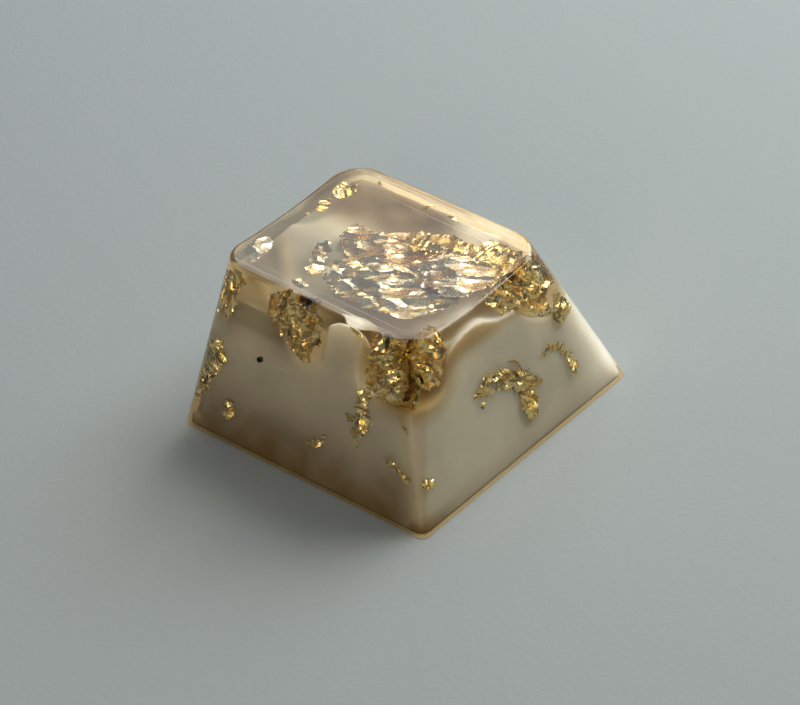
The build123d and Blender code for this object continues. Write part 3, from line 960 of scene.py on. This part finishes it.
def raw_sheet(node, name, out, up, step, seed):
    """A fine grid dropped on a leaf's solid, less what misses it, and the solid's depth."""
    solid = bpy.data.objects[node]
    across = up.cross(out).normalized()
    along = out.cross(across)
    turn = Matrix((across, along, out)).transposed()
    spread = [turn.transposed() @ v.co for v in solid.data.vertices]
    low = Vector([min(p[i] for p in spread) for i in range(3)])
    high = Vector([max(p[i] for p in spread) for i in range(3)])
    size = high - low
    middle = (low + high) / 2
    deselect()
    bpy.ops.mesh.primitive_grid_add(
        x_subdivisions=int(size.x / step) + 3,
        y_subdivisions=int(size.y / step) + 3,
        size=1,
        location=turn @ Vector((middle.x, middle.y, high.z + LIFT)),
        rotation=turn.to_euler(),
    )
    piece = bpy.context.active_object
    piece.name = name
    piece.scale = (size.x + 2 * step, size.y + 2 * step, 1)
    bpy.ops.object.transform_apply(location=False, rotation=False, scale=True)
    bpy.ops.object.mode_set(mode="EDIT")
    bpy.ops.mesh.select_all(action="SELECT")
    bpy.ops.transform.vertex_random(offset=step * JITTER, seed=seed)
    bpy.ops.object.mode_set(mode="OBJECT")
    modify(
        piece,
        "SHRINKWRAP",
        target=solid,
        wrap_method="PROJECT",
        use_project_z=True,
        use_positive_direction=False,
        use_negative_direction=True,
    )
    delete_points(piece, lambda v: v.co.z > -LIFT * 0.5)
    return piece, size.z


def flatten(piece, keep):
    """Keeps a share of a sheet's pleats, and applies its place."""
    points = piece.data.vertices
    middle = sum(v.co.z for v in points) / len(points)
    for vertex in points:
        vertex.co.z = middle + (vertex.co.z - middle) * keep
    only(piece)
    bpy.ops.object.transform_apply(location=True, rotation=True, scale=True)


def add_flap(piece, out, up, across, rise, turn, share, deeper):
    """Joins a turned, shifted and deeper copy to a sheet, as a folded flap."""
    side = up.cross(out).normalized()
    shift = side * across + out.cross(side) * rise
    middle = sum((v.co for v in piece.data.vertices), Vector()) / len(piece.data.vertices)
    only(piece)
    bpy.ops.object.duplicate()
    flap = bpy.context.active_object
    move = Matrix.Translation(middle + shift - out * deeper)
    turned = move @ Matrix.Rotation(radians(turn), 4, out)
    flap.data.transform(turned @ Matrix.Scale(share, 4) @ Matrix.Translation(-middle))
    piece.select_set(True)
    bpy.context.view_layer.objects.active = piece
    bpy.ops.object.join()


def fold_sheet(piece, folds, textures, out, turn, stretch, place, loose):
    """Folds a sheet by textures that are drawn out in one direction along it."""
    bpy.ops.object.empty_add(location=place)
    lay = bpy.context.active_object
    along = out.to_track_quat("Z", "Y").to_matrix()
    lay.rotation_euler = (Matrix.Rotation(radians(turn), 3, out) @ along).to_euler()
    lay.scale = (stretch, 1, 1)
    for name, height in folds:
        modify(
            piece,
            "DISPLACE",
            texture=textures[name],
            texture_coords="OBJECT",
            texture_coords_object=lay,
            direction="RGB_TO_XYZ" if name == "drift" else "NORMAL",
            strength=height * (loose if name in MAIN_FOLDS else 1),
            mid_level=0.5,
        )
    bpy.data.objects.remove(lay)


def tear(piece, rng, share):
    """Tears scraps off the free edge of a sheet."""
    bpy.ops.object.mode_set(mode="EDIT")
    bpy.ops.mesh.select_mode(type="VERT")
    bpy.ops.mesh.select_all(action="DESELECT")
    bpy.ops.mesh.select_non_manifold(
        extend=False,
        use_wire=False,
        use_multi_face=False,
        use_non_contiguous=False,
        use_verts=False,
    )
    bpy.ops.object.mode_set(mode="OBJECT")
    edge = sorted(v.index for v in piece.data.vertices if v.select)
    torn = {i for i in edge if rng.random() < share}
    delete_points(piece, lambda v: v.index in torn)


def keep_inside(piece, form, cover):
    """Presses a leaf back under the polished surface where its folds stand out."""
    walls = sides(form)
    for vertex in piece.data.vertices:
        for point, out in walls:
            depth = (point - vertex.co).dot(out)
            if depth < cover:
                vertex.co -= out * (cover - depth)
        top = dish_height(form, vertex.co.x, vertex.co.y) - cover
        vertex.co.z = min(vertex.co.z, top)


class KEYCAP_OT_gold_leaf(bpy.types.Operator):
    """Every scrap of gold leaf, finely crumpled"""

    bl_idname = "keycap.gold_leaf"
    bl_label = "Gold Leaf"

    def execute(self, context):
        form = context.scene.keycap_form
        leaf = context.scene.keycap_leaf
        rng = random.Random(leaf.seed)
        textures = {}
        for name, (kind, scale) in CRUMPLES.items():
            extra = {"weight_1": 1.0} if kind == "VORONOI" else {"cloud_type": "COLOR", "noise_depth": 1}
            textures[name] = texture(name, kind, scale, **extra)
        golds = {name: gold_material(name, *values) for name, values in GOLDS.items()}
        nodes = [o.name for o in bpy.data.objects if "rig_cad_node" in o and o.name.startswith(LEAF_PREFIX)]
        for number, node in enumerate(sorted(nodes)):
            short = node.replace(LEAF_PREFIX, "")
            broad = short in BROAD
            out, up = facing(short, form)
            low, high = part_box(node)
            small = (high - low).length < SMALL_LEAF
            step = leaf.step * SMALL_STEP if small else leaf.step
            piece, relief = raw_sheet(node, "leaf_" + short, out, up, step, leaf.seed + number)
            flatten(piece, leaf.pleat_keep)
            if short in FLAPS:
                add_flap(piece, out, up, *FLAPS[short])
            # Broad sheets fold about one way, the others any way
            turn = -50 + rng.uniform(-45, 45) if broad else rng.uniform(0, 180)
            folds = BROAD_FOLDS if broad else TIGHT_FOLDS
            stretch = leaf.broad_stretch if broad else leaf.tight_stretch
            loose = min(1.0, relief / FULL_RELIEF)
            fold_sheet(piece, folds, textures, out, turn, stretch, (low + high) / 2, loose)
            tear(piece, rng, leaf.small_tear if small else leaf.tear)
            modify(piece, "TRIANGULATE")
            keep = leaf.broad_keep if broad else leaf.small_keep if small else leaf.tight_keep
            modify(piece, "DECIMATE", ratio=keep)
            thickness = leaf.thickness * (leaf.thread if "thread" in short else 1)
            modify(piece, "SOLIDIFY", thickness=thickness, offset=0)
            keep_inside(piece, form, leaf.cover)
            only(piece)
            bpy.ops.object.shade_smooth_by_angle(angle=leaf.facet_angle)
            piece.data.materials.append(golds[LEAF_FINISH.get(short, "deep_gold")])
            finish_piece(piece, node)
        return {"FINISHED"}


# Stage
def add_camera(stage):
    """The camera, aimed at its target and turned about its line of sight."""
    azimuth, elevation, roll = stage.azimuth, stage.elevation, stage.roll
    back = Vector((sin(azimuth) * cos(elevation), -cos(azimuth) * cos(elevation), sin(elevation)))
    right = (-back).cross(Vector((0, 0, 1))).normalized()
    up = right.cross(-back)
    turned_right = right * cos(roll) + up * sin(roll)
    turned_up = -right * sin(roll) + up * cos(roll)
    place = Matrix((turned_right, turned_up, back)).transposed().to_4x4()
    place.translation = Vector(stage.target) + back * stage.distance
    bpy.ops.object.camera_add()
    camera = bpy.context.active_object
    camera.matrix_world = place
    camera.data.sensor_width = 36
    camera.data.lens = stage.lens
    camera.data.clip_start = 0.001
    bpy.context.scene.camera = camera


def add_lamp(name, place, size, power, colour, turn):
    """A soft rectangular lamp that faces the cap."""
    bpy.ops.object.light_add(type="AREA", location=place)
    lamp = bpy.context.active_object
    lamp.name = name
    lamp.data.shape = "RECTANGLE"
    lamp.data.size, lamp.data.size_y = size
    lamp.data.energy = power
    lamp.data.color = colour
    aim = (Vector(LAMP_AIM) - Vector(place)).to_track_quat("-Z", "Y")
    lamp.rotation_euler = (aim @ Quaternion((0, 0, 1), radians(turn))).to_euler()


def add_floor(stage):
    """The floor, a hair under the base."""
    bpy.ops.mesh.primitive_plane_add(size=stage.floor_size, location=(0, 0, -stage.floor_gap))
    floor = bpy.context.active_object
    floor.name = "floor"
    floor.data.materials.append(floor_material(stage))


def sky():
    """A pale zenith over a darker, warmer horizon."""
    world = bpy.data.worlds.new("world")
    world.use_nodes = True
    tree = world.node_tree
    place = tree.nodes.new("ShaderNodeTexCoord")
    split = tree.nodes.new("ShaderNodeSeparateXYZ")
    ramp = tree.nodes.new("ShaderNodeValToRGB")
    background = tree.nodes["Background"]
    tree.links.new(place.outputs["Generated"], split.inputs[0])
    tree.links.new(split.outputs["Z"], ramp.inputs["Fac"])
    tree.links.new(ramp.outputs["Color"], background.inputs["Color"])
    for element, (position, colour) in zip(ramp.color_ramp.elements, SKY):
        element.position = position
        element.color = (*colour, 1)
    background.inputs["Strength"].default_value = SKY_STRENGTH
    return world


class KEYCAP_OT_stage(bpy.types.Operator):
    """Floor, lights, world and camera"""

    bl_idname = "keycap.stage"
    bl_label = "Stage"

    def execute(self, context):
        stage = context.scene.keycap_stage
        add_camera(stage)
        add_floor(stage)
        for name, values in LAMPS.items():
            add_lamp(name, *values)
        context.scene.world = sky()
        context.scene.view_settings.view_transform = "Standard"
        return {"FINISHED"}


# Add-on
SETTINGS = {
    "keycap_form": FormSettings,
    "keycap_resin": ResinSettings,
    "keycap_leaf": LeafSettings,
    "keycap_stage": StageSettings,
}
STEPS = (KEYCAP_OT_white_resin, KEYCAP_OT_clear_resin, KEYCAP_OT_gold_leaf, KEYCAP_OT_stage)


class KEYCAP_PT_panel(bpy.types.Panel):
    """The steps that dress the keycap"""

    bl_label = "Keycap"
    bl_idname = "KEYCAP_PT_panel"
    bl_space_type = "VIEW_3D"
    bl_region_type = "UI"
    bl_category = "Keycap"

    def draw(self, context):
        for name in SETTINGS:
            group = getattr(context.scene, name)
            for entry in group.bl_rna.properties:
                if not entry.is_readonly and entry.identifier != "name":
                    self.layout.prop(group, entry.identifier)
        for step in STEPS:
            self.layout.operator(step.bl_idname)


CLASSES = (*SETTINGS.values(), *STEPS, KEYCAP_PT_panel)


def register():
    for entry in CLASSES:
        bpy.utils.register_class(entry)
    for name, settings in SETTINGS.items():
        setattr(bpy.types.Scene, name, PointerProperty(type=settings))


def unregister():
    for name in SETTINGS:
        delattr(bpy.types.Scene, name)
    for entry in reversed(CLASSES):
        bpy.utils.unregister_class(entry)


def main():
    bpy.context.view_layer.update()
    register()
    bpy.ops.keycap.white_resin()
    bpy.ops.keycap.clear_resin()
    bpy.ops.keycap.gold_leaf()
    bpy.ops.keycap.stage()


if __name__ == "__main__":
    main()
